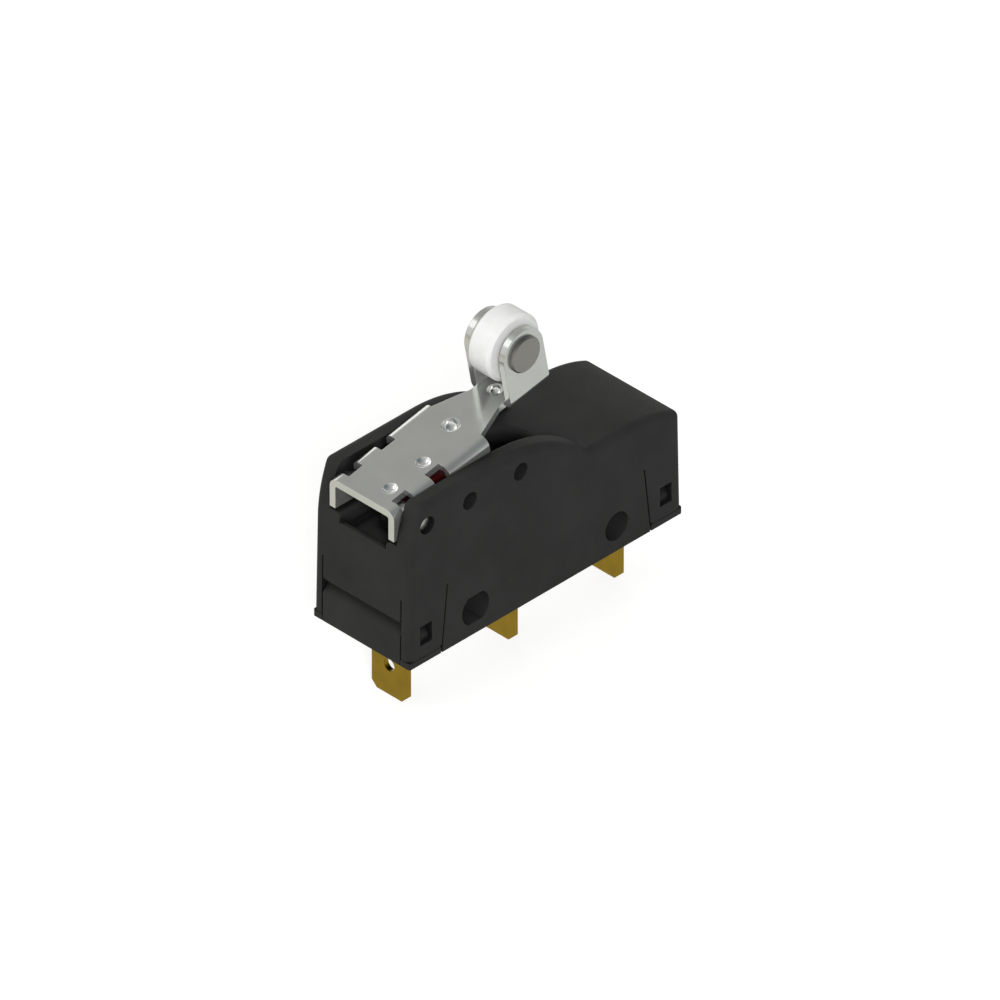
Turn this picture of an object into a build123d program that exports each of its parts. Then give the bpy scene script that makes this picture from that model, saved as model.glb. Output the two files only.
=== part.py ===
from build123d import *

import os
from math import acos, asin, atan, cos, degrees, radians, sin, tan

# Large snap-action micro switch with a hinged roller lever, in millimetres, +Z up.
# The origin is the middle of the round mounting hole. X runs along the casing, away from the hinge,
# and Y across it. along() and up() measure from the hinge end and from the underside of the casing.

# Mounting holes
hole_spacing = 25.4
hole_from_end = 11.9
hole_height = 3.8
round_hole_diameter = 4.2
oval_hole_length = 4.9
oval_hole_height = 4.2

# Casing outside
casing_width = 17.45
cheek_height = 6.2
end_draft_angle = 1.0
side_draft_angle = 0.5
end_curve_drop = 8.5
end_curve_radius = 22.4
wall_top_length = 17.4
wall_fall_radius = 22.0
wall_foot_radius = 1.6
deck_fall_length = 9.2
deck_fall_radius = 20.0
deck_fall_angle = 26.5
corner_radius = 1.1
edge_radius = 1.0

# Casing inside
cheek_thickness = 2.7
skin = 1.8
channel_inset = 1.85
channel_depth = 2.8
channel_length = 29.4
channel_rim_radius = 0.8
lip_below_deck = 1.35
lip_thickness = 1.0
roof_thickness = 1.6
boss_wall = 0.9
boss_gap = 0.1
overcut = 1.0

# Corner tongues with their slits and windows, and the grooves in the ends
slit_width = 0.25
slit_top_from_end = 6.9
slit_top_height = 10.1
tongue_length = 5.75
tongue_bottom_height = 1.0
slit_end_diameter = 0.56
window_from_end = 1.95
window_length = 2.15
window_bottom_height = 2.85
window_top_height = 5.8
groove_height = 5.55
groove_width = 2.5
groove_depth = 0.9

# Base
base_thickness = 1.2
base_clearance = 0.05
foot_thickness = 0.9
foot_gap = 0.1
foot_corner_radius = 0.4
latch_length = 4.25
latch_thickness = 1.5
latch_height = 7.2
tooth_clearance = 0.2
tooth_reach = 1.3
tooth_flat = 0.85
tooth_rise = 2.55
collar_height = 3.0
collar_wall = 1.0

# Lever
lever_rise = 0.19
sheet = 1.0
lever_side_gap = 0.25
web_top = 2.585
lever_bend_radius = 1.3
inner_bend_radius = 0.3
lever_from_end = 0.22
flange_above_deck = 0.6
flange_flat_to = 5.4
flange_rise = 0.2
channel_end = 14.35
slot_spacing = 6.0
slot_depth = 1.95
dimple_from_slot = 0.3
dimple_offset = -2.025
dimple_radius = 1.25
dimple_depth = 0.5
bump_height = 0.29
neck_root_inset = 1.36
neck_width = 5.17
neck_taper_length = 5.17
ear_length = 7.0
fork_width = 7.15
fork_bend_radius = 1.1
axle_along = 24.2
axle_above_web = 6.15
cup_along = 13.4
cup_diameter = 2.5
fork_cup_along = 21.46
fork_cup_diameter = 2.2
cup_floor = 0.75

# Hinge pin and the row of pin holes
pin_diameter = 2.5
pin_inset = 1.0
pin_chamfer = 0.2
pin_fit = 0.02
slot_fit = 0.03
hinge_from_end = 3.44
middle_pin_hole_from_end = 11.05
right_pin_hole_from_end = 20.13
hinge_above_deck = 3.0

# Roller and axle
roller_diameter = 9.5
roller_width = 3.9
roller_chamfer = 0.45
roller_fit = 0.05
axle_diameter = 3.2
axle_fit = 0.02
axle_head_diameter = 5.15
axle_head_thickness = 0.55
axle_head_edge = 0.2

# Plunger
plunger_length = 5.0
plunger_width = 4.9
plunger_corner = 0.8
plunger_crown_radius = 8.0
plunger_edge = 0.25
plunger_fit = 0.08
plunger_gap = 0.03
plunger_past_bump = 0.12
guide_wall = 1.25
collar_rim = 0.9
collar_thickness = 1.2
collar_gap = 0.1
pip_radius = 1.1

# Terminals
tab_width = 6.3
tab_thickness = 0.8
tab_reach = 10.6
tab_tip_chamfer = 0.9
tab_hole_diameter = 1.9
tab_hole_from_tip = 4.6
tab_from_end = 5.4
tab_fit = 0.05
shoulder_width = 7.4
shoulder_thickness = 1.35
tab_bend_radius = 1.1

# Contact arm and contacts
ledge_above_boss = 0.81
contact_below_roof = 0.86
arm_thickness = 0.4
arm_width = 6.4
arm_window_width = 3.8
arm_past_tab = 0.7
arm_crossbar = 1.0
arm_window_length = 14.6
arm_taper_length = 15.8
arm_tip_width = 4.0
contact_before_tab = 5.0
contact_travel = 0.7
contact_gap = 0.04
moving_head_diameter = 3.0
moving_head_thickness = 0.45
fixed_head_diameter = 3.2
fixed_head_thickness = 0.5
contact_shank_diameter = 1.6
contact_tail_diameter = 2.4
contact_tail_thickness = 0.25
contact_edge = 0.12
ledge_past_contact = 1.75

# Leaf, clamp, bracket and bow spring
leaf_thickness = 0.3
leaf_before_tab = 2.8
leaf_root_length = 3.2
leaf_root_width = 4.8
leaf_width = 3.0
leaf_length = 12.7
pip_gap = 0.04
clamp_thickness = 0.5
clamp_length = 3.0
leaf_rivet_before_tab = 1.5
leaf_rivet_spacing = 2.8
leaf_rivet_diameter = 1.0
leaf_rivet_head_diameter = 1.8
leaf_rivet_head_thickness = 0.35
rivet_fit = 0.02
bracket_thickness = 0.8
bracket_foot_width = 4.4
bracket_width = 3.0
bracket_bottom_height = 3.45
bracket_step_below_arm = 1.8
bracket_step_length = 1.95
bracket_rise_above_arm = 0.5
bracket_rivet_height = 5.2
bracket_rivet_diameter = 1.6
bracket_rivet_head_diameter = 2.8
bracket_rivet_head_thickness = 0.5
pivot_notch_depth = 0.25
pivot_play = 0.12
bow_thickness = 0.25
bow_width = 2.6
bow_rise = 2.3
bow_gap = 0.08

# Frame of the casing. Its deck stands above the contacts, which stand above the mounting bosses.
casing_length = hole_spacing + 2 * hole_from_end
left_end = -hole_spacing - hole_from_end
underside = -hole_height
middle = left_end + casing_length / 2
half_width = casing_width / 2
boss_radius = round_hole_diameter / 2 + boss_wall
closed_ledge_height = hole_height + boss_radius + ledge_above_boss + tab_thickness
arm_height = (closed_ledge_height + fixed_head_thickness + contact_gap + moving_head_thickness
              + arm_thickness / 2)
open_ledge_height = (arm_height + arm_thickness / 2 + moving_head_thickness + contact_travel + contact_gap
                     + fixed_head_thickness)
roof_height = open_ledge_height + tab_thickness + contact_tail_thickness + contact_below_roof
deck_height = roof_height + roof_thickness + channel_depth
wall_height = deck_height + cheek_height
end_curve_height = wall_height - end_curve_drop
end_lean = tan(radians(end_draft_angle)) * end_curve_height
trough_half_width = half_width - cheek_thickness
cavity_half_width = half_width - skin
channel_half_width = trough_half_width - channel_inset
lever_width = 2 * (trough_half_width - lever_side_gap)


def along(distance):
    """X at a distance from the hinge end of the casing."""
    return left_end + distance


def up(height):
    """Z at a height above the underside of the casing."""
    return underside + height


def from_end(distance, end):
    """X at a distance inwards from the hinge end (-1) or from the far end (1)."""
    return middle + end * (casing_length / 2 - distance)


def block(x, y, z, mode=Mode.ADD):
    """A box between two positions on each axis."""
    with Locations(((x[0] + x[1]) / 2, (y[0] + y[1]) / 2, (z[0] + z[1]) / 2)):
        Box(abs(x[1] - x[0]), abs(y[1] - y[0]), z[1] - z[0], mode=mode)


def rod(radius, centre, length, direction, mode=Mode.ADD):
    """A round bar about its centre, with its length in the given direction."""
    with Locations(Plane(origin=centre, z_dir=direction)):
        Cylinder(radius, length, mode=mode)


def save(builder, name):
    builder.part.label = name
    export_step(builder.part, f"parts/{name}.step")


def lever_block(u, y, w, mode=Mode.ADD):
    """A box that lies with the lever: u from the hinge along it, w square to its sheet."""
    with Locations(lever_flat):
        with Locations(((u[0] + u[1]) / 2, (y[0] + y[1]) / 2, (w[0] + w[1]) / 2)):
            Box(u[1] - u[0], abs(y[1] - y[0]), w[1] - w[0], mode=mode)


# Planes that lie with the lever, with their origin on the hinge
lever_angle = atan(lever_rise)
lever_x = (cos(lever_angle), 0, sin(lever_angle))
lever_z = (-sin(lever_angle), 0, cos(lever_angle))
hinge = (along(hinge_from_end), 0, up(deck_height + hinge_above_deck))
lever_side = Plane(origin=hinge, x_dir=lever_x, z_dir=(0, -1, 0))
lever_flat = Plane(origin=hinge, x_dir=lever_x, z_dir=lever_z)
lever_section = Plane(origin=hinge, x_dir=(0, 1, 0), z_dir=lever_x)
web_underside = web_top - sheet
axle_height = web_top + axle_above_web
fork_along = axle_along - ear_length / 2

# Heights and lengths of the mechanism that follow from the lever and the casing
dimple_centre = web_top - dimple_depth + dimple_radius
bump_radius = dimple_centre - web_underside + bump_height
working_dimple = slot_spacing + dimple_from_slot
bump_x = hinge[0] + working_dimple * lever_x[0] + dimple_centre * lever_z[0]
bump_z = hinge[2] + working_dimple * lever_x[2] + dimple_centre * lever_z[2] - bump_radius
plunger_x = bump_x + plunger_past_bump
plunger_top = bump_z - plunger_gap
roof = up(roof_height)
collar_top = roof - collar_gap
collar_bottom = collar_top - collar_thickness
leaf_top = collar_bottom - pip_radius - pip_gap
leaf_bottom = leaf_top - leaf_thickness
common_x = along(tab_from_end)
open_x = from_end(tab_from_end, 1)
leaf_start = common_x - leaf_before_tab
leaf_end = leaf_start + leaf_length
contact_x = open_x - contact_before_tab
arm_z = up(arm_height)
arm_bottom = arm_z - arm_thickness / 2
arm_top = arm_z + arm_thickness / 2
arm_start = common_x + arm_past_tab
window_start = arm_start + arm_crossbar
window_end = window_start + arm_window_length
closed_ledge = up(closed_ledge_height)
open_ledge = up(open_ledge_height)
tab_tip = up(-tab_reach)

os.makedirs("parts", exist_ok=True)

# Housing: side outline with the curved end, the cheeks and the deck that falls to the far end
with BuildPart() as housing:
    with BuildSketch(Plane.XZ) as side_outline:
        with BuildLine():
            end_turn = degrees(asin(end_curve_drop / end_curve_radius + sin(radians(end_draft_angle))))
            wall_turn = degrees(acos(1 - cheek_height / wall_fall_radius))
            end_line = Line((along(0), up(0)), (along(end_lean), up(end_curve_height)))
            end_curve = JernArc(end_line @ 1, end_line % 1, end_curve_radius, end_draft_angle - end_turn)
            wall_top = Line(end_curve @ 1, (along(wall_top_length), up(wall_height)))
            wall_fall = JernArc(wall_top @ 1, (1, 0), wall_fall_radius, -wall_turn)
            deck_line = Line(wall_fall @ 1, (from_end(deck_fall_length, 1), up(deck_height)))
            deck_fall = JernArc(deck_line @ 1, (1, 0), deck_fall_radius, -deck_fall_angle)
            Polyline(deck_fall @ 1, (along(casing_length), up(0)), (along(0), up(0)))
        make_face()
        for corner, radius in (
            (end_curve @ 1, corner_radius), (wall_fall @ 1, wall_foot_radius), (deck_fall @ 1, corner_radius)
        ):
            fillet(side_outline.vertices().sort_by_distance(corner)[0], radius)
    extrude(amount=half_width, both=True)
    with BuildSketch(Plane.YZ.offset(middle)):
        with Locations((0, up(wall_height / 2))):
            Trapezoid(casing_width, wall_height, 90 - side_draft_angle)
    extrude(amount=casing_length, both=True, mode=Mode.INTERSECT)
    side_edges = housing.edges().filter_by(lambda edge: abs(edge.center().Y) > trough_half_width)
    fillet(side_edges.filter_by(lambda edge: edge.center().Z > up(edge_radius)), edge_radius)

    # Trough for the lever and, below its deck, the round-ended channel behind a low lip
    trough_end = (wall_fall @ 1).X + wall_foot_radius + overcut
    block((along(-overcut), trough_end), (-trough_half_width, trough_half_width),
          (up(deck_height), up(wall_height + overcut)), Mode.SUBTRACT)
    channel_round_x = along(channel_length) - channel_half_width
    with BuildSketch(Plane.XY.offset(up(deck_height))):
        with Locations(((channel_round_x + along(lip_thickness)) / 2, 0)):
            Rectangle(channel_round_x - along(lip_thickness), 2 * channel_half_width)
        with Locations((channel_round_x, 0)):
            Circle(channel_half_width)
    extrude(amount=-channel_depth, mode=Mode.SUBTRACT)
    block((along(-overcut), along(lip_thickness + overcut)), (-channel_half_width, channel_half_width),
          (up(deck_height - lip_below_deck), up(deck_height + overcut)), Mode.SUBTRACT)
    rim_edges = housing.edges().filter_by_position(Axis.Z, up(deck_height) - 0.01, up(deck_height) + 0.01)
    channel_edges = rim_edges.filter_by(lambda edge: abs(edge.center().Y) < channel_half_width + overcut
                                        and edge.center().X < channel_round_x + channel_half_width
                                        and edge.length > channel_half_width)
    fillet(channel_edges, channel_rim_radius)

    # Hollow below, with the mounting bosses, and the guide that stands in the channel for the plunger
    block((along(skin), from_end(skin, 1)), (-cavity_half_width, cavity_half_width),
          (up(-overcut), roof), Mode.SUBTRACT)
    for x in (-hole_spacing, 0):
        rod(boss_radius, (x, 0, 0), 2 * cavity_half_width + skin, (0, 1, 0))
    block((-hole_spacing - boss_radius, boss_radius), (-cavity_half_width, cavity_half_width),
          (up(-overcut), up(base_thickness + boss_gap)), Mode.SUBTRACT)
    guide_half_length = plunger_length / 2 + plunger_fit
    guide_half_width = plunger_width / 2 + plunger_fit
    block((plunger_x - guide_half_length - guide_wall, plunger_x + guide_half_length + guide_wall),
          (dimple_offset - guide_half_width - guide_wall, dimple_offset + guide_half_width + guide_wall),
          (roof, up(deck_height)))
    with BuildSketch(Plane.XY.offset(roof)):
        with Locations((plunger_x, dimple_offset)):
            RectangleRounded(2 * guide_half_length, 2 * guide_half_width, plunger_corner + plunger_fit)
    extrude(amount=roof_thickness + deck_height, mode=Mode.SUBTRACT)

    # Mounting holes: a round one and an oval one, flat above and below
    rod(round_hole_diameter / 2, (0, 0, 0), 2 * casing_width, (0, 1, 0), Mode.SUBTRACT)
    with BuildSketch(Plane.XZ):
        with Locations((-hole_spacing, 0)):
            Circle(oval_hole_length / 2)
            Rectangle(oval_hole_length, oval_hole_height, mode=Mode.INTERSECT)
    extrude(amount=casing_width, both=True, mode=Mode.SUBTRACT)

    # Pin holes through both cheeks
    for distance in (hinge_from_end, middle_pin_hole_from_end, right_pin_hole_from_end):
        rod(pin_diameter / 2 + pin_fit, (along(distance), 0, hinge[2]), 2 * casing_width, (0, 1, 0),
            Mode.SUBTRACT)

    # Corner tongues: slanted slits with a round end, upright slits in the ends, windows and grooves
    for end in (-1, 1):
        with BuildSketch(Plane.XZ):
            with BuildLine():
                Polyline(*[(from_end(x + side * slit_width / 2, end), up(z)) for x, z, side in (
                    (slit_top_from_end, slit_top_height, -1), (slit_top_from_end, slit_top_height, 1),
                    (tongue_length, 0, 1), (tongue_length, 0, -1)
                )], close=True)
            make_face()
            with Locations((from_end(tongue_length, end), up(tongue_bottom_height))):
                Circle(slit_end_diameter / 2)
            with Locations((from_end(window_from_end + window_length / 2, end),
                            up((window_bottom_height + window_top_height) / 2))):
                Rectangle(window_length, window_top_height - window_bottom_height)
        extrude(amount=casing_width, both=True, mode=Mode.SUBTRACT)
        with BuildSketch(Plane.XZ):
            with BuildLine():
                Polyline(*[(from_end(x, end), up(groove_height + z)) for x, z in (
                    (0, -groove_width / 2), (groove_depth, 0), (0, groove_width / 2), (-overcut, 0)
                )], close=True)
            make_face()
        extrude(amount=cavity_half_width, both=True, mode=Mode.SUBTRACT)
        for side in (-1, 1):
            block((from_end(-overcut, end), from_end(skin + slit_width, end)),
                  (side * cavity_half_width, side * (cavity_half_width + slit_width)),
                  (up(tongue_bottom_height), up(slit_top_height)), Mode.SUBTRACT)
            block((from_end(-overcut, end), from_end(tongue_length, end)),
                  (side * cavity_half_width, side * casing_width),
                  (up(-overcut), up(tongue_bottom_height)), Mode.SUBTRACT)

# Base: plate with corner feet under the tongues, latch blocks with a tooth in each window
with BuildPart() as base:
    plate_half_width = cavity_half_width - base_clearance
    block((along(skin + base_clearance), from_end(skin + base_clearance, 1)),
          (-plate_half_width, plate_half_width), (up(0), up(base_thickness)))
    foot_length = tongue_length - foot_gap
    foot_width = skin - foot_gap
    with BuildSketch(Plane.XY.offset(up(0))) as feet:
        with Locations((middle, 0)):
            with GridLocations(casing_length - foot_length, casing_width - foot_width, 2, 2):
                Rectangle(foot_length, foot_width)
        fillet(feet.vertices().sort_by_distance((middle, 0))[-4:], foot_corner_radius)
    extrude(amount=foot_thickness)
    for end in (-1, 1):
        for side in (-1, 1):
            latch_x = (from_end(window_from_end, end), from_end(window_from_end + latch_length, end))
            block((latch_x[0], from_end(foot_length, end)),
                  (side * (plate_half_width - foot_gap), side * (cavity_half_width + 2 * foot_gap)),
                  (up(0), up(foot_thickness)))
            block(latch_x,
                  (side * (plate_half_width - latch_thickness), side * (plate_half_width - base_clearance)),
                  (up(0), up(latch_height)))
            tooth_bottom = up(window_bottom_height + tooth_clearance)
            with BuildSketch(Plane.YZ.offset(from_end(window_from_end + window_length / 2, end))):
                with BuildLine():
                    Polyline((side * (plate_half_width - latch_thickness / 2), tooth_bottom),
                             (side * (plate_half_width + tooth_reach), tooth_bottom),
                             (side * (plate_half_width + tooth_reach), tooth_bottom + tooth_flat),
                             (side * (plate_half_width - base_clearance), tooth_bottom + tooth_rise),
                             (side * (plate_half_width - latch_thickness / 2), tooth_bottom + tooth_rise),
                             close=True)
                make_face()
            extrude(amount=window_length / 2 - tooth_clearance, both=True)
    for x in (common_x, middle, open_x):
        half_slot = (tab_thickness / 2 + tab_fit, tab_width / 2 + tab_fit)
        block((x - half_slot[0] - collar_wall, x + half_slot[0] + collar_wall),
              (-half_slot[1] - collar_wall, half_slot[1] + collar_wall), (up(0), up(collar_height)))
        block((x - half_slot[0], x + half_slot[0]), (-half_slot[1], half_slot[1]),
              (up(-overcut), up(collar_height + overcut)), Mode.SUBTRACT)

# Lever: inverted channel, flat neck and fork, folded from one sheet
with BuildPart() as fork:
    with BuildSketch(lever_section.offset(fork_along)) as fork_section:
        with Locations((0, web_underside + lever_width)):
            Rectangle(fork_width, 2 * lever_width)
        fillet(fork_section.vertices().group_by(Axis.Y)[0], fork_bend_radius)
        with Locations((0, web_top + lever_width)):
            Rectangle(fork_width - 2 * sheet, 2 * lever_width, mode=Mode.SUBTRACT)
        fillet(fork_section.vertices().filter_by_position(Axis.Y, web_top - 0.01, web_top + 0.01),
               inner_bend_radius)
    extrude(amount=ear_length)
    with BuildSketch(lever_side):
        with Locations((axle_along, axle_height)):
            Circle(ear_length / 2)
        with Locations((axle_along, axle_height / 2)):
            Rectangle(ear_length, axle_height)
    extrude(amount=casing_width, both=True, mode=Mode.INTERSECT)

with BuildPart() as bumps:
    dimples = [(u + dimple_from_slot, dimple_offset, dimple_centre) for u in (0, slot_spacing)]
    with Locations(lever_flat):
        with Locations(*dimples):
            Sphere(bump_radius)
    cups = ((cup_along, cup_diameter), (fork_cup_along, fork_cup_diameter))
    for u, diameter in cups:
        with Locations(lever_flat):
            with Locations((u, 0, web_top)):
                Sphere(diameter / 2 + cup_floor)
    lever_block((-lever_width, axle_along), (-lever_width, lever_width), (0, web_top - sheet / 2),
                Mode.INTERSECT)

with BuildPart() as lever:
    with BuildSketch(lever_section.offset(-hinge_from_end - sheet)) as channel_section:
        with Locations((0, web_top - lever_width / 2)):
            Rectangle(lever_width, lever_width)
        fillet(channel_section.vertices().group_by(Axis.Y)[-1], lever_bend_radius)
        with Locations((0, web_underside - lever_width / 2)):
            Rectangle(lever_width - 2 * sheet, lever_width, mode=Mode.SUBTRACT)
        inner_corners = channel_section.vertices().filter_by_position(
            Axis.Y, web_underside - 0.01, web_underside + 0.01)
        fillet(inner_corners, inner_bend_radius)
    extrude(amount=hinge_from_end + sheet + channel_end)
    with BuildSketch(Plane.XZ):
        flange_bottom = up(deck_height + flange_above_deck)
        flange_end = along(channel_end + 2 * hinge_from_end)
        above_lever = up(wall_height + lever_width)
        with BuildLine():
            Polyline((along(lever_from_end), flange_bottom), (along(flange_flat_to), flange_bottom),
                     (flange_end, flange_bottom + (flange_end - along(flange_flat_to)) * flange_rise),
                     (flange_end, above_lever), (along(lever_from_end), above_lever), close=True)
        make_face()
    extrude(amount=casing_width, both=True, mode=Mode.INTERSECT)

    # Neck
    neck_root_half_width = lever_width / 2 - neck_root_inset
    with BuildSketch(lever_flat.offset(web_underside)):
        with BuildLine():
            Polyline((channel_end - sheet, -neck_root_half_width),
                     (channel_end, -neck_root_half_width),
                     (channel_end + neck_taper_length, -neck_width / 2),
                     (fork_along + sheet, -neck_width / 2),
                     (fork_along + sheet, neck_width / 2),
                     (channel_end + neck_taper_length, neck_width / 2),
                     (channel_end, neck_root_half_width),
                     (channel_end - sheet, neck_root_half_width), close=True)
        make_face()
    extrude(amount=sheet)
    add(fork.part)
    add(bumps.part)
    with Locations(lever_flat):
        with Locations(*dimples):
            Sphere(dimple_radius, mode=Mode.SUBTRACT)
        for u, diameter in cups:
            with Locations((u, 0, web_top)):
                Sphere(diameter / 2, mode=Mode.SUBTRACT)

    # Pin slots, open at the top, with a round seat on the pin's centre line
    seat_radius = pin_diameter / 2 + slot_fit
    slot_inner = lever_width / 2 - slot_depth
    for side in (-1, 1):
        for u in (0, slot_spacing):
            slot_y = (side * slot_inner, side * lever_width)
            lever_block((u - seat_radius, u + seat_radius), slot_y, (0, web_top + sheet), Mode.SUBTRACT)
            with Locations(lever_side):
                with Locations((u, 0, -sum(slot_y) / 2)):
                    Cylinder(seat_radius, lever_width - slot_inner, mode=Mode.SUBTRACT)

    # Axle holes
    with Locations(lever_side):
        with Locations((axle_along, axle_height)):
            Cylinder(axle_diameter / 2 + axle_fit, casing_width, mode=Mode.SUBTRACT)

# Hinge pin
with BuildPart() as hinge_pin:
    rod(pin_diameter / 2, hinge, casing_width - 2 * pin_inset, (0, 1, 0))
    chamfer(hinge_pin.edges().filter_by(GeomType.CIRCLE), pin_chamfer)

# Roller and its axle
axle = (lever_side * Pos(axle_along, axle_height)).position
with BuildPart() as roller:
    rod(roller_diameter / 2, axle, roller_width, (0, 1, 0))
    chamfer(roller.edges().filter_by(GeomType.CIRCLE), roller_chamfer)
    rod(axle_diameter / 2 + roller_fit, axle, roller_width, (0, 1, 0), Mode.SUBTRACT)

with BuildPart() as roller_axle:
    for side in (-1, 1):
        rod(axle_head_diameter / 2, axle + (0, side * (fork_width + axle_head_thickness) / 2, 0),
            axle_head_thickness, (0, 1, 0))
    chamfer(roller_axle.faces().sort_by(Axis.Y)[0].edges() + roller_axle.faces().sort_by(Axis.Y)[-1].edges(),
            axle_head_edge)
    rod(axle_diameter / 2, axle, fork_width, (0, 1, 0))

# Plunger: square cap with a crown, collar that stops under the roof, and a pip that presses the leaf
with BuildPart() as plunger:
    with BuildSketch(Plane.XY.offset(collar_top)):
        with Locations((plunger_x, dimple_offset)):
            RectangleRounded(plunger_length, plunger_width, plunger_corner)
    extrude(amount=plunger_top - collar_top)
    with BuildSketch(Plane.XZ):
        with Locations((bump_x, plunger_top - plunger_crown_radius)):
            Circle(plunger_crown_radius)
    extrude(amount=casing_width, both=True, mode=Mode.INTERSECT)
    fillet(plunger.faces().sort_by(Axis.Z)[-1].edges(), plunger_edge)
    block((plunger_x - plunger_length / 2 - collar_rim, plunger_x + plunger_length / 2 + collar_rim),
          (dimple_offset - plunger_width / 2 - collar_rim, dimple_offset + plunger_width / 2 + collar_rim),
          (collar_bottom, collar_top))
    with Locations((plunger_x, 0, collar_bottom)):
        Sphere(pip_radius)

# Terminals: tab and shoulders in one plane, with a ledge bent over at the top
leaf_rivet_at = [(common_x - leaf_rivet_before_tab, side * leaf_rivet_spacing / 2) for side in (-1, 1)]
for name, x, ledge_end, ledge_top in (
    ("terminal_common", common_x, leaf_start - rivet_fit, leaf_bottom),
    ("terminal_normally_closed", middle, contact_x + ledge_past_contact, closed_ledge),
    ("terminal_normally_open", open_x, contact_x - ledge_past_contact, open_ledge + tab_thickness),
):
    with BuildPart() as terminal:
        with BuildSketch(Plane.XZ) as bend:
            with Locations((x, (tab_tip + ledge_top) / 2)):
                Rectangle(tab_thickness, ledge_top - tab_tip)
            with Locations(((x + ledge_end) / 2, ledge_top - tab_thickness / 2)):
                Rectangle(abs(ledge_end - x), tab_thickness)
            side = 1 if ledge_end > x else -1
            fillet(bend.vertices().sort_by_distance((x - side * tab_thickness / 2, ledge_top))[0],
                   tab_bend_radius)
            fillet(bend.vertices().sort_by_distance(
                (x + side * tab_thickness / 2, ledge_top - tab_thickness))[0], inner_bend_radius)
        extrude(amount=shoulder_width / 2, both=True)
        with BuildSketch(Plane.YZ.offset(x)) as front:
            with Locations((0, (tab_tip + ledge_top) / 2)):
                Rectangle(tab_width, ledge_top - tab_tip)
            chamfer(front.vertices().group_by(Axis.Y)[0], tab_tip_chamfer)
            with Locations((0, up(collar_height + tab_fit) + shoulder_thickness / 2)):
                Rectangle(shoulder_width, shoulder_thickness)
            with Locations((0, tab_tip + tab_hole_from_tip)):
                Circle(tab_hole_diameter / 2, mode=Mode.SUBTRACT)
        extrude(amount=casing_length, both=True, mode=Mode.INTERSECT)
        if x == common_x:
            rod(bracket_rivet_diameter / 2 + rivet_fit, (x, 0, up(bracket_rivet_height)), sheet, (1, 0, 0),
                Mode.SUBTRACT)
            for rivet_x, rivet_y in leaf_rivet_at:
                rod(leaf_rivet_diameter / 2 + rivet_fit, (rivet_x, rivet_y, ledge_top), 2 * sheet, (0, 0, 1),
                    Mode.SUBTRACT)
        else:
            rod(contact_shank_diameter / 2 + rivet_fit, (contact_x, 0, ledge_top), 2 * sheet, (0, 0, 1),
                Mode.SUBTRACT)
    save(terminal, name)

# Leaf spring, its clamp and their rivets
with BuildPart() as actuating_leaf:
    with BuildSketch(Plane.XY.offset(leaf_bottom)):
        with Locations((leaf_start + leaf_root_length / 2, 0)):
            Rectangle(leaf_root_length, leaf_root_width)
        with Locations((leaf_end - leaf_length / 2, 0)):
            Rectangle(leaf_length, leaf_width)
        with Locations(*leaf_rivet_at):
            Circle(leaf_rivet_diameter / 2 + rivet_fit, mode=Mode.SUBTRACT)
    extrude(amount=leaf_thickness)

with BuildPart() as leaf_clamp:
    with BuildSketch(Plane.XY.offset(leaf_top)):
        with Locations((leaf_start + clamp_length / 2, 0)):
            RectangleRounded(clamp_length, leaf_root_width, inner_bend_radius)
        with Locations(*leaf_rivet_at):
            Circle(leaf_rivet_diameter / 2 + rivet_fit, mode=Mode.SUBTRACT)
    extrude(amount=clamp_thickness)

clamp_top = leaf_top + clamp_thickness
ledge_bottom = leaf_bottom - tab_thickness
for (x, y), name in zip(leaf_rivet_at, ("leaf_rivet_front", "leaf_rivet_back")):
    with BuildPart() as leaf_rivet:
        rod(leaf_rivet_diameter / 2, (x, y, (clamp_top + ledge_bottom) / 2), clamp_top - ledge_bottom,
            (0, 0, 1))
        for z in (clamp_top + leaf_rivet_head_thickness / 2, ledge_bottom - leaf_rivet_head_thickness / 2):
            rod(leaf_rivet_head_diameter / 2, (x, y, z), leaf_rivet_head_thickness, (0, 0, 1))
    save(leaf_rivet, name)

# Bracket that the contact arm pivots on, with its rivet
with BuildPart() as pivot_bracket:
    bracket_x = common_x + tab_thickness / 2
    upright_x = bracket_x + bracket_step_length
    bracket_step = arm_z - bracket_step_below_arm
    block((bracket_x, bracket_x + bracket_thickness), (-bracket_foot_width / 2, bracket_foot_width / 2),
          (up(bracket_bottom_height), bracket_step))
    block((bracket_x, upright_x), (-bracket_width / 2, bracket_width / 2),
          (bracket_step - bracket_thickness, bracket_step))
    block((upright_x - bracket_thickness, upright_x), (-bracket_width / 2, bracket_width / 2),
          (bracket_step - bracket_thickness, arm_z + bracket_rise_above_arm))
    block((bracket_x, upright_x - bracket_thickness + pivot_notch_depth), (-bracket_width, bracket_width),
          (arm_bottom - pivot_play, arm_top + pivot_play), Mode.SUBTRACT)
    rod(bracket_rivet_diameter / 2 + rivet_fit, (bracket_x, 0, up(bracket_rivet_height)),
        3 * bracket_thickness, (1, 0, 0), Mode.SUBTRACT)

with BuildPart() as bracket_rivet:
    rivet_grip = (common_x - tab_thickness / 2, bracket_x + bracket_thickness)
    rod(bracket_rivet_diameter / 2, (sum(rivet_grip) / 2, 0, up(bracket_rivet_height)),
        rivet_grip[1] - rivet_grip[0], (1, 0, 0))
    for x, side in zip(rivet_grip, (-1, 1)):
        rod(bracket_rivet_head_diameter / 2,
            (x + side * bracket_rivet_head_thickness / 2, 0, up(bracket_rivet_height)),
            bracket_rivet_head_thickness, (1, 0, 0))

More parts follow.
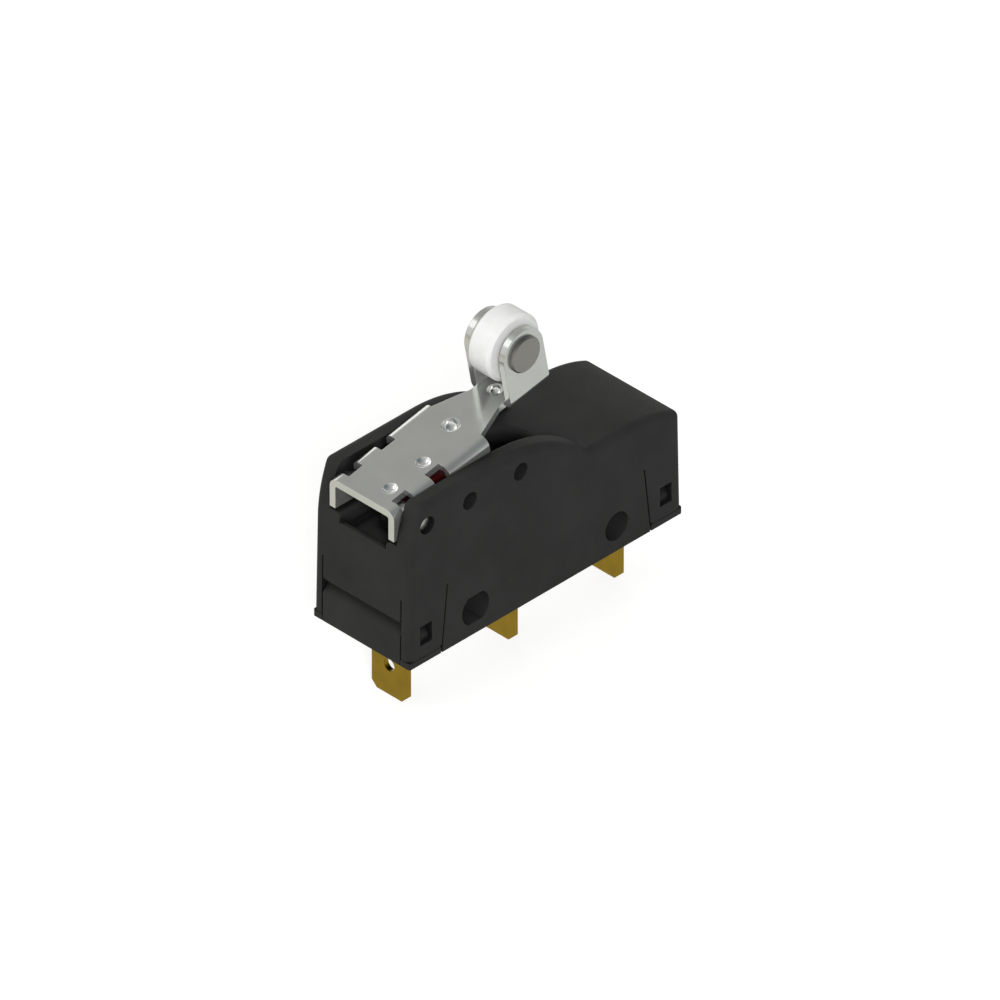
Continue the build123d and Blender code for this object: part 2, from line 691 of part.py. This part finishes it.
# Contact arm with its window, and the contacts
with BuildPart() as contact_arm:
    with BuildSketch(Plane.XY.offset(arm_bottom)):
        with BuildLine():
            Polyline((arm_start, -arm_width / 2), (contact_x - arm_taper_length, -arm_width / 2),
                     (contact_x, -arm_tip_width / 2), (contact_x, arm_tip_width / 2),
                     (contact_x - arm_taper_length, arm_width / 2), (arm_start, arm_width / 2), close=True)
        make_face()
        with Locations((contact_x, 0)):
            Circle(arm_tip_width / 2)
            Circle(contact_shank_diameter / 2 + rivet_fit, mode=Mode.SUBTRACT)
        with Locations(((window_start + window_end) / 2, 0)):
            RectangleRounded(arm_window_length, arm_window_width, inner_bend_radius, mode=Mode.SUBTRACT)
    extrude(amount=arm_thickness)

for name, bottom, top, heads in (
    ("moving_contact", arm_bottom, arm_top,
     ((moving_head_diameter, moving_head_thickness), (moving_head_diameter, moving_head_thickness))),
    ("fixed_contact_closed", closed_ledge - tab_thickness, closed_ledge,
     ((contact_tail_diameter, contact_tail_thickness), (fixed_head_diameter, fixed_head_thickness))),
    ("fixed_contact_open", open_ledge, open_ledge + tab_thickness,
     ((fixed_head_diameter, fixed_head_thickness), (contact_tail_diameter, contact_tail_thickness))),
):
    with BuildPart() as contact:
        (lower_diameter, lower_thickness), (upper_diameter, upper_thickness) = heads
        rod(lower_diameter / 2, (contact_x, 0, bottom - lower_thickness / 2), lower_thickness, (0, 0, 1))
        rod(upper_diameter / 2, (contact_x, 0, top + upper_thickness / 2), upper_thickness, (0, 0, 1))
        chamfer(contact.faces().sort_by(Axis.Z)[0].edges() + contact.faces().sort_by(Axis.Z)[-1].edges(),
                contact_edge)
        rod(contact_shank_diameter / 2, (contact_x, 0, (bottom + top) / 2), top - bottom, (0, 0, 1))
    save(contact, name)

# Bow spring between the leaf's end and the far edge of the arm's window
with BuildPart() as bow_spring:
    with BuildSketch(Plane.XZ):
        bow_start = (leaf_end + bow_gap, leaf_bottom + leaf_thickness / 2)
        bow_end = (window_end - bow_gap - bow_thickness, arm_z)
        with BuildLine() as bow_line:
            ThreePointArc(bow_start, ((bow_start[0] + bow_end[0]) / 2, bow_start[1] + bow_rise), bow_end)
        trace(line_width=bow_thickness)
    extrude(amount=bow_width / 2, both=True)

for builder, name in (
    (housing, "housing"), (base, "base"), (lever, "lever"), (hinge_pin, "hinge_pin"), (roller, "roller"),
    (roller_axle, "roller_axle"), (plunger, "plunger"), (actuating_leaf, "actuating_leaf"),
    (leaf_clamp, "leaf_clamp"), (pivot_bracket, "pivot_bracket"), (bracket_rivet, "bracket_rivet"),
    (contact_arm, "contact_arm"), (bow_spring, "bow_spring"),
):
    save(builder, name)
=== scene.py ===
import math

import bmesh
import bpy
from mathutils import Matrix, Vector


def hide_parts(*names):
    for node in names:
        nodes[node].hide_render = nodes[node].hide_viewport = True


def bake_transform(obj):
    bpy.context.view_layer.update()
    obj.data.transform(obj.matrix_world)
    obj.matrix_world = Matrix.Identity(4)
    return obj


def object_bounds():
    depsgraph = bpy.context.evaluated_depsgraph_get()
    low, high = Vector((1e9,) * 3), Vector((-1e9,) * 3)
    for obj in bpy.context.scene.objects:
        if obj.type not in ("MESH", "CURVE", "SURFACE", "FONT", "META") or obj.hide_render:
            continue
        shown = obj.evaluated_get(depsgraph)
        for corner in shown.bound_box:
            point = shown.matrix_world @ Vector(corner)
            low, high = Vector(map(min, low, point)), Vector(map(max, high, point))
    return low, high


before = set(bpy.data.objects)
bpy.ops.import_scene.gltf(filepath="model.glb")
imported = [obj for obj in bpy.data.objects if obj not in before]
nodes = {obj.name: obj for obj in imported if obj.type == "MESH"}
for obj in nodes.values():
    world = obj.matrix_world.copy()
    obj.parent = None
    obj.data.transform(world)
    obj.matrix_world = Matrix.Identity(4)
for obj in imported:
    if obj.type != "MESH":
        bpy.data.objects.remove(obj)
cad_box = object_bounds()
scene = bpy.context.scene
MM = 0.001


class Tree:
    """The nodes of a finish or of the studio, with short calls for what they share."""

    def __init__(self, tree):
        self.tree = tree

    def node(self, kind, **values):
        """A new node, with each value on the socket or else on the setting of that name."""
        made = self.tree.nodes.new(kind)
        for name, value in values.items():
            socket = name.replace("_", " ")
            if socket in made.inputs:
                made.inputs[socket].default_value = value
            else:
                setattr(made, name, value)
        return made

    def link(self, start, end):
        self.tree.links.new(start, end)

    def range(self, value, low, high, start=0.3, end=0.7):
        """Low up to where the value is start, high from where it is end, and even between."""
        node = self.node("ShaderNodeMapRange", From_Min=start, From_Max=end, To_Min=low, To_Max=high)
        self.link(value, node.inputs["Value"])
        return node.outputs["Result"]

    def color(self, value, *stops):
        """Colours along the value, as (position, colour) stops."""
        ramp = self.node("ShaderNodeValToRGB")
        elements = ramp.color_ramp.elements
        while len(elements) < len(stops):
            elements.new(0.5)
        for element, (position, color) in zip(elements, stops):
            element.position = position
            element.color = (*color, 1)
        self.link(value, ramp.inputs["Fac"])
        return ramp.outputs["Color"]

    def mix(self, first, second, blend="MIX", factor=None):
        """The second colour over the first, in full or as far as the factor says."""
        node = self.node("ShaderNodeMix", data_type="RGBA", blend_type=blend, Factor=1.0)
        if factor:
            self.link(factor, node.inputs["Factor"])
        self.link(first, node.inputs["A"])
        self.link(second, node.inputs["B"])
        return node.outputs["Result"]

    def compare(self, operation, vector, other):
        """One number from a vector and another, which is a socket or fixed."""
        node = self.node("ShaderNodeVectorMath", operation=operation)
        self.link(vector, node.inputs[0])
        if isinstance(other, bpy.types.NodeSocket):
            self.link(other, node.inputs[1])
        else:
            node.inputs[1].default_value = other
        return node.outputs["Value"]

    def shown(self, rays, those, others):
        """The first shader for rays of that kind, the second for all others."""
        node = self.node("ShaderNodeMixShader")
        self.link(self.node("ShaderNodeLightPath").outputs[rays], node.inputs["Fac"])
        self.link(others, node.inputs[1])
        self.link(those, node.inputs[2])
        return node.outputs["Shader"]


# Finishes


class Finish(Tree):
    """A material whose patterns lie on the piece's own coordinates. Lengths are in millimetres."""

    def __init__(self, name, **settings):
        self.material = bpy.data.materials.new(name)
        self.material.use_nodes = True
        super().__init__(self.material.node_tree)
        self.shader = self.tree.nodes["Principled BSDF"]
        self.place = self.node("ShaderNodeTexCoord").outputs["Object"]
        for socket, value in settings.items():
            self.shader.inputs[socket.replace("_", " ")].default_value = value

    def noise(self, size, detail=3.0, stretch=(1, 1, 1), turn=(0, 0, 0)):
        """Noise with blobs of about that size, pulled out along an axis by stretch."""
        scale = [1 / (size * MM * s) for s in stretch]
        mapping = self.node("ShaderNodeMapping", Rotation=turn, Scale=scale)
        self.link(self.place, mapping.inputs["Vector"])
        noise = self.node("ShaderNodeTexNoise", Scale=1.0, Detail=detail)
        self.link(mapping.outputs["Vector"], noise.inputs["Vector"])
        return noise.outputs["Fac"]

    def bump(self, height, depth, normal):
        """A bump as deep as depth, on top of the normal."""
        node = self.node("ShaderNodeBump", Strength=1.0, Distance=depth * MM)
        self.link(height, node.inputs["Height"])
        self.link(normal, node.inputs["Normal"])
        return node.outputs["Normal"]

    def rounded(self, radius):
        """A normal that turns softly over the sharp edges."""
        return self.node("ShaderNodeBevel", Radius=radius * MM, samples=8).outputs["Normal"]

    def open_sky(self, reach):
        """How open a spot lies: 1 on a free face, less where walls stand within reach."""
        return self.node("ShaderNodeAmbientOcclusion", Distance=reach * MM, samples=8).outputs["AO"]

    def edge_highlight_mask(self, rounded):
        """Where the painted edge highlight goes: how far the softened normal turns away from the
        face, 1 on an edge, 0 beside it.
        """
        face = self.node("ShaderNodeNewGeometry").outputs["Normal"]
        agreement = self.compare("DOT_PRODUCT", rounded, face)
        return self.range(agreement, low=1.0, high=0.0, start=0.75, end=0.98)

    def near(self, balls):
        """1 on and in any of these balls, given as (centre, radius), and 0 outside them."""
        skin, fade = 0.02, 0.06
        found = None
        for centre, radius in balls:
            away = self.compare("DISTANCE", self.place, centre * MM)
            inside = self.range(away, 1.0, 0.0, (radius + skin) * MM, (radius + fade) * MM)
            if found:
                most = self.node("ShaderNodeMath", operation="MAXIMUM")
                self.link(found, most.inputs[0])
                self.link(inside, most.inputs[1])
                inside = most.outputs["Value"]
            found = inside
        return found

    def replaced(self, value, other, factor):
        """The value where the factor is 0, the other number where it is 1."""
        node = self.node("ShaderNodeMapRange", To_Max=other)
        self.link(factor, node.inputs["Value"])
        self.link(value, node.inputs["To Min"])
        return node.outputs["Result"]

    def finish(self, color, roughness, normal):
        for name, value in (("Base Color", color), ("Roughness", roughness), ("Normal", normal)):
            self.link(value, self.shader.inputs[name])
        return self.material


def shades(tint, dark, pale):
    """The stops of a mottle: a darker and a paler shade of the tint."""
    return (0.3, [c * dark for c in tint]), (0.7, [min(1, c * pale) for c in tint])


def black_plastic(name, tint):
    """Moulded black plastic: flow clouds, a fine spark texture, a painted highlight on the edges and
    painted shade in the corners.
    """
    f = Finish(name, Specular_IOR_Level=0.06)
    clouds = f.noise(size=6, detail=4)
    spark = f.noise(size=0.25, detail=2)
    rounded = f.rounded(0.3)
    flow = f.color(clouds, *shades(tint, 0.88, 1.12))
    pale = f.color(spark, *shades(tint, 1.35, 1.6))
    # painted highlight: a paler shade of the tint along the edges, where light would catch them
    with_edge_highlight = f.mix(flow, pale, factor=f.edge_highlight_mask(rounded))
    # painted shade: the colour darkens in corners and recesses, where walls stand within 1.5 mm
    painted_corner_shade = f.range(f.open_sky(reach=1.5), low=0.42, high=1.0, start=0.74, end=0.95)
    color = f.mix(with_edge_highlight, painted_corner_shade, "MULTIPLY")
    normal = f.bump(spark, 0.006, f.bump(clouds, 0.02, rounded))
    return f.finish(color, f.range(spark, 0.42, 0.54), normal)


def steel(name, tint, roughness, grain, stretch=(1, 1, 1), turn=(0, 0, 0), metallic=1.0, pressed=()):
    """Steel with a fine grain, faint stains, and a punch's polish in its pressed places."""
    f = Finish(name, Metallic=metallic)
    lines = f.noise(grain, 3, stretch, turn)
    stains = f.noise(size=3.5, detail=4)
    color = f.color(stains, *shades(tint, 0.95, 1.03))
    rough = f.range(lines, roughness * 0.8, roughness * 1.25)
    if pressed:
        punched = f.near(pressed)
        bright = f.color(stains, (0.0, (0.95, 0.96, 0.94)), (1.0, (1, 1, 1)))
        color = f.mix(color, bright, factor=punched)
        rough = f.replaced(rough, 0.04, punched)
        bare = f.range(punched, low=metallic, high=1.0, start=0.0, end=1.0)
        f.link(bare, f.shader.inputs["Metallic"])
    return f.finish(color, rough, f.bump(lines, 0.002, f.rounded(0.08)))


def brass(name, tint, roughness=0.34):
    """Rolled brass strip with tarnish clouds and fine lines along the tab."""
    f = Finish(name, Metallic=1.0)
    tarnish = f.noise(size=2.6, detail=5)
    lines = f.noise(size=0.12, stretch=(1, 1, 30))
    dark, pale = [c * 0.84 for c in tint], [c * 1.1 for c in tint]
    color = f.color(tarnish, (0.3, dark), (0.55, tint), (0.75, pale))
    rough = f.range(tarnish, roughness * 0.85, roughness * 1.2)
    return f.finish(color, rough, f.bump(lines, 0.003, f.rounded(0.06)))


def smooth_plastic(name, tint, roughness, **settings):
    """Smooth moulded plastic with a slight mottle."""
    f = Finish(name, **settings)
    mottle = f.noise(size=1.6, detail=4)
    color = f.color(mottle, *shades(tint, 0.96, 1.02))
    rough = f.range(mottle, roughness * 0.85, roughness * 1.15)
    return f.finish(color, rough, f.bump(mottle, 0.004, f.rounded(0.1)))


# The lever's sheet: where it hinges, how it slopes, and the balls that its pressed places follow
hinge = Vector((-33.86, 0, 17.0))
slope = math.atan(0.19)
along_sheet = Vector((math.cos(slope), 0, math.sin(slope)))
off_sheet = Vector((-math.sin(slope), 0, math.cos(slope)))
across_sheet = Vector((0, 1, 0))
web_top = 2.585
dimple_radius, dimple_side, dimple_height = 1.25, -2.025, 3.335
dimples_and_cups = [
    (hinge + along_sheet * along + across_sheet * side + off_sheet * height, radius)
    for along, side, height, radius in (
        (0.3, dimple_side, dimple_height, dimple_radius),
        (6.3, dimple_side, dimple_height, dimple_radius),
        (13.4, 0, web_top, 1.25),
        (21.46, 0, web_top, 1.1),
    )
]

casing_black = (0.0305, 0.0305, 0.0303)
tab_brass = brass("tab_brass", (0.305, 0.194, 0.013))
spring_copper = brass("spring_copper", (0.72, 0.42, 0.24), roughness=0.28)
rivet_steel = steel("axle_steel", (0.32, 0.305, 0.288), roughness=0.42, grain=0.2)
contact_silver = steel("contact_silver", (0.85, 0.84, 0.80), roughness=0.25, grain=0.08)
finishes = {
    "housing": black_plastic("casing_plastic", casing_black),
    "base": black_plastic("base_plastic", casing_black),
    "lever": steel("lever_steel", (0.60, 0.61, 0.585), roughness=0.17, grain=0.09,
                   stretch=(40, 1, 1), turn=(0, slope, 0), metallic=0.78,
                   pressed=dimples_and_cups),
    "hinge_pin": steel("pin_steel", (0.75, 0.75, 0.72), roughness=0.3, grain=0.06,
                       stretch=(1, 30, 1)),
    "roller": smooth_plastic("roller_plastic", (0.92, 0.92, 0.905), roughness=0.35,
                             Subsurface_Weight=0.12, Subsurface_Scale=1.0,
                             Subsurface_Radius=(0.0012, 0.001, 0.0009)),
    "plunger": smooth_plastic("plunger_plastic", (0.045, 0.0016, 0.0016), roughness=0.5,
                              Specular_IOR_Level=0.12),
}
for finish, names in (
    (tab_brass, ("terminal_common", "terminal_normally_closed", "terminal_normally_open",
                 "leaf_clamp", "pivot_bracket")),
    (spring_copper, ("contact_arm", "actuating_leaf", "bow_spring")),
    (rivet_steel, ("roller_axle", "leaf_rivet_front", "leaf_rivet_back", "bracket_rivet")),
    (contact_silver, ("moving_contact", "fixed_contact_closed", "fixed_contact_open")),
):
    for name in names:
        finishes[name] = finish

for name, node in nodes.items():
    node.data.materials.clear()
    node.data.materials.append(finishes[name])


# Leaf and bow spring, as copies cut into short steps along their length


def mesh_from(bm, name):
    mesh = bpy.data.meshes.new(name)
    bm.to_mesh(mesh)
    bm.free()
    made = bpy.data.objects.new(name, mesh)
    scene.collection.objects.link(made)
    return made


def bending_spring(name, node, start, end):
    """The node's spring as a new object, cut into short steps from start to end; the node is hidden.
    """
    steps = 16
    bm = bmesh.new()
    bm.from_mesh(nodes[node].data)
    bmesh.ops.remove_doubles(bm, verts=bm.verts, dist=0.001 * MM)
    for i in range(1, steps):
        everything = bm.verts[:] + bm.edges[:] + bm.faces[:]
        across = (start + (end - start) * i / steps) * MM
        bmesh.ops.bisect_plane(bm, geom=everything, plane_co=(across, 0, 0), plane_no=(1, 0, 0))
    spring = mesh_from(bm, name)
    spring.data.shade_smooth()
    spring.data.set_sharp_from_angle(angle=math.radians(30))
    spring.data.materials.append(finishes[node])
    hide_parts(node)
    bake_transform(spring)


bending_spring("bending_leaf", "actuating_leaf", start=-31.7, end=-28.5)
bending_spring("bending_bow_spring", "bow_spring", start=-22.0, end=-15.8)


# Floor: white to the camera but for a faint shadow, and grey to the light. Mirrors see a painted
# reflection on it: a glow, warm on one side, cool on the other and dimmer far away

hair = 0.02
floor_bm = bmesh.new()
bmesh.ops.create_circle(floor_bm, cap_ends=True, segments=96, radius=0.7)
floor = mesh_from(floor_bm, "floor")
floor.location.z = cad_box[0].z - hair * MM
ground = Finish("floor", Base_Color=(0.42, 0.42, 0.415, 1), Roughness=0.9)
paint = ground.shader.outputs["BSDF"]
side = ground.range(ground.compare("DOT_PRODUCT", ground.place, (5, -5, 0)), 0.0, 1.0, -1.0, 1.0)
# painted reflection: a glow that only mirrors see, its colour set by side and its strength by
# distance
painted_reflection_glow = ground.node("ShaderNodeEmission")
ground.link(ground.color(side, (0.0, (1, 0.97, 0.82)), (1.0, (0.95, 0.99, 1))), painted_reflection_glow.inputs["Color"])
away = ground.compare("DISTANCE", ground.place, (0, 0, 0))
dimmer = ground.range(away, low=0.8, high=0.4, start=0.1, end=0.4)
ground.link(dimmer, painted_reflection_glow.inputs["Strength"])
white = ground.node("ShaderNodeEmission", Strength=0.75)
shadowed = ground.node("ShaderNodeAddShader")
ground.link(white.outputs["Emission"], shadowed.inputs[0])
ground.link(paint, shadowed.inputs[1])
mirrored = ground.shown("Is Glossy Ray", painted_reflection_glow.outputs["Emission"], paint)
surface = ground.shown("Is Camera Ray", shadowed.outputs["Shader"], mirrored)
ground.link(surface, ground.tree.nodes["Material Output"].inputs["Surface"])
floor.data.materials.append(ground.material)


# Studio: pale at the horizon, greyer overhead, darker in front, with white panels behind the part

world = bpy.data.worlds.new("studio")
scene.world = world
world.use_nodes = True
studio = Tree(world.node_tree)
direction = studio.node("ShaderNodeTexCoord").outputs["Generated"]


def toward(x, y, z):
    """How well a direction in the studio agrees with this one, from -1 to 1."""
    return studio.compare("DOT_PRODUCT", direction, Vector((x, y, z)).normalized())


overhead = studio.color(
    toward(0, 0, 1), (0.0, (1, 0.99, 0.97)), (0.25, (0.82, 0.81, 0.79)), (0.6, (0.5, 0.5, 0.48)),
    (1.0, (0.4, 0.4, 0.39)))
front = studio.color(toward(0.35, -0.75, 0.6), (0.55, (1, 1, 1)), (0.95, (0.36, 0.41, 0.45)))
room = studio.mix(overhead, front, "MULTIPLY")
for place, edge, inside, strength in (
    ((-0.52, 0.6, 0.6), 0.967, 0.973, 1.2),
    ((-0.52, 0.6, 0.6), 0.8, 0.96, 0.3),
    ((0.42, 0.87, 0.2), 0.925, 0.931, 1.0),
):
    panel = studio.range(toward(*place), low=0.0, high=strength, start=edge, end=inside)
    room = studio.mix(room, panel, "ADD")
sky = studio.tree.nodes["Background"]
sky.inputs["Strength"].default_value = 0.85
studio.link(room, sky.inputs["Color"])
backdrop = studio.node("ShaderNodeBackground", Color=(1, 1, 1, 1))
view = studio.shown("Is Camera Ray", backdrop.outputs["Background"], sky.outputs["Background"])
studio.link(view, studio.tree.nodes["World Output"].inputs["Surface"])

middle = Vector((-12.4, 0, 6.0)) * MM


def softbox(name, direction, distance, size, power, tint=(1, 1, 1)):
    """A round soft light that looks at the part's middle and isn't mirrored in it."""
    light = bpy.data.lights.new(name, "AREA")
    light.shape = "DISK"
    light.size = size
    light.energy = power
    light.color = tint
    holder = bpy.data.objects.new(name, light)
    scene.collection.objects.link(holder)
    holder.location = middle + Vector(direction).normalized() * distance
    holder.rotation_euler = (middle - holder.location).to_track_quat("-Z", "Y").to_euler()
    holder.visible_glossy = False


softbox("key_light", (-0.3, -0.4, 1.6), distance=0.6, size=0.35, power=0.3, tint=(1, 0.985, 0.95))
softbox("camera_light", (-0.85, -1.05, 0.85), distance=1.2, size=0.25, power=7.5)


# Camera at the photo's isometric angle, so far off that lines stay as good as parallel

picture_width = 1000
pixels_per_mm = 7.86
camera_data = bpy.data.cameras.new("camera")
camera_data.sensor_width = 36
camera_data.lens = 900
camera_data.clip_end = 20
camera = bpy.data.objects.new("camera", camera_data)
scene.collection.objects.link(camera)
scene.camera = camera
view_width = picture_width / pixels_per_mm * MM
toward_camera = Vector((-1, -1, 1)).normalized()
picture_middle = Vector((-12.37, 0, 5.94)) * MM
camera_distance = view_width * camera_data.lens / camera_data.sensor_width
camera.location = picture_middle + toward_camera * camera_distance
camera.rotation_euler = (-toward_camera).to_track_quat("-Z", "Y").to_euler()
scene.view_settings.view_transform = "Standard"
